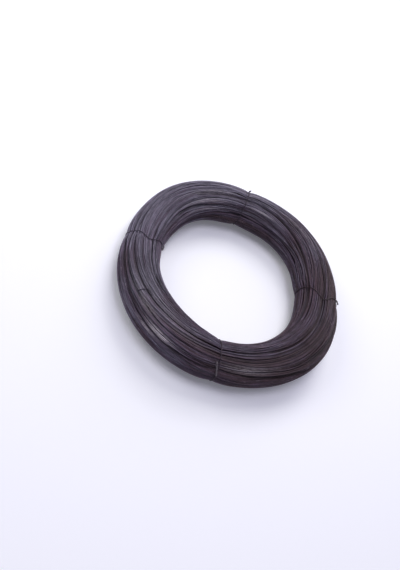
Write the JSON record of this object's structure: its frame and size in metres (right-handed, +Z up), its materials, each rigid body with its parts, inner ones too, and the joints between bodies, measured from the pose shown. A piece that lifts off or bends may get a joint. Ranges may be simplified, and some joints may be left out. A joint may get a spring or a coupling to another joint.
{
  "type": "coil of binding wire",
  "caption": "Round open coil of black annealed binding wire, its turns wound into a rope-thick ring and held by twisted tie wires.",
  "frame": {"origin": "on the floor, at the middle of the coil's outline and of its bore", "axes": "+Z up along the coil's axis, as it lies flat; the picture looks along +Y and down"},
  "size_m": [0.4356, 0.4295, 0.0802],
  "materials": {
    "annealed_wire": "black oxide skin from annealing, satin",
    "tie_wire": "black oxide skin from annealing, matte"
  },
  "bodies": {
    "root": {"wire_coil": "annealed_wire", "tie_wire_1": "tie_wire", "tie_wire_2": "tie_wire", "tie_wire_3": "tie_wire", "tie_wire_4": "tie_wire"}
  },
  "joints": []
}
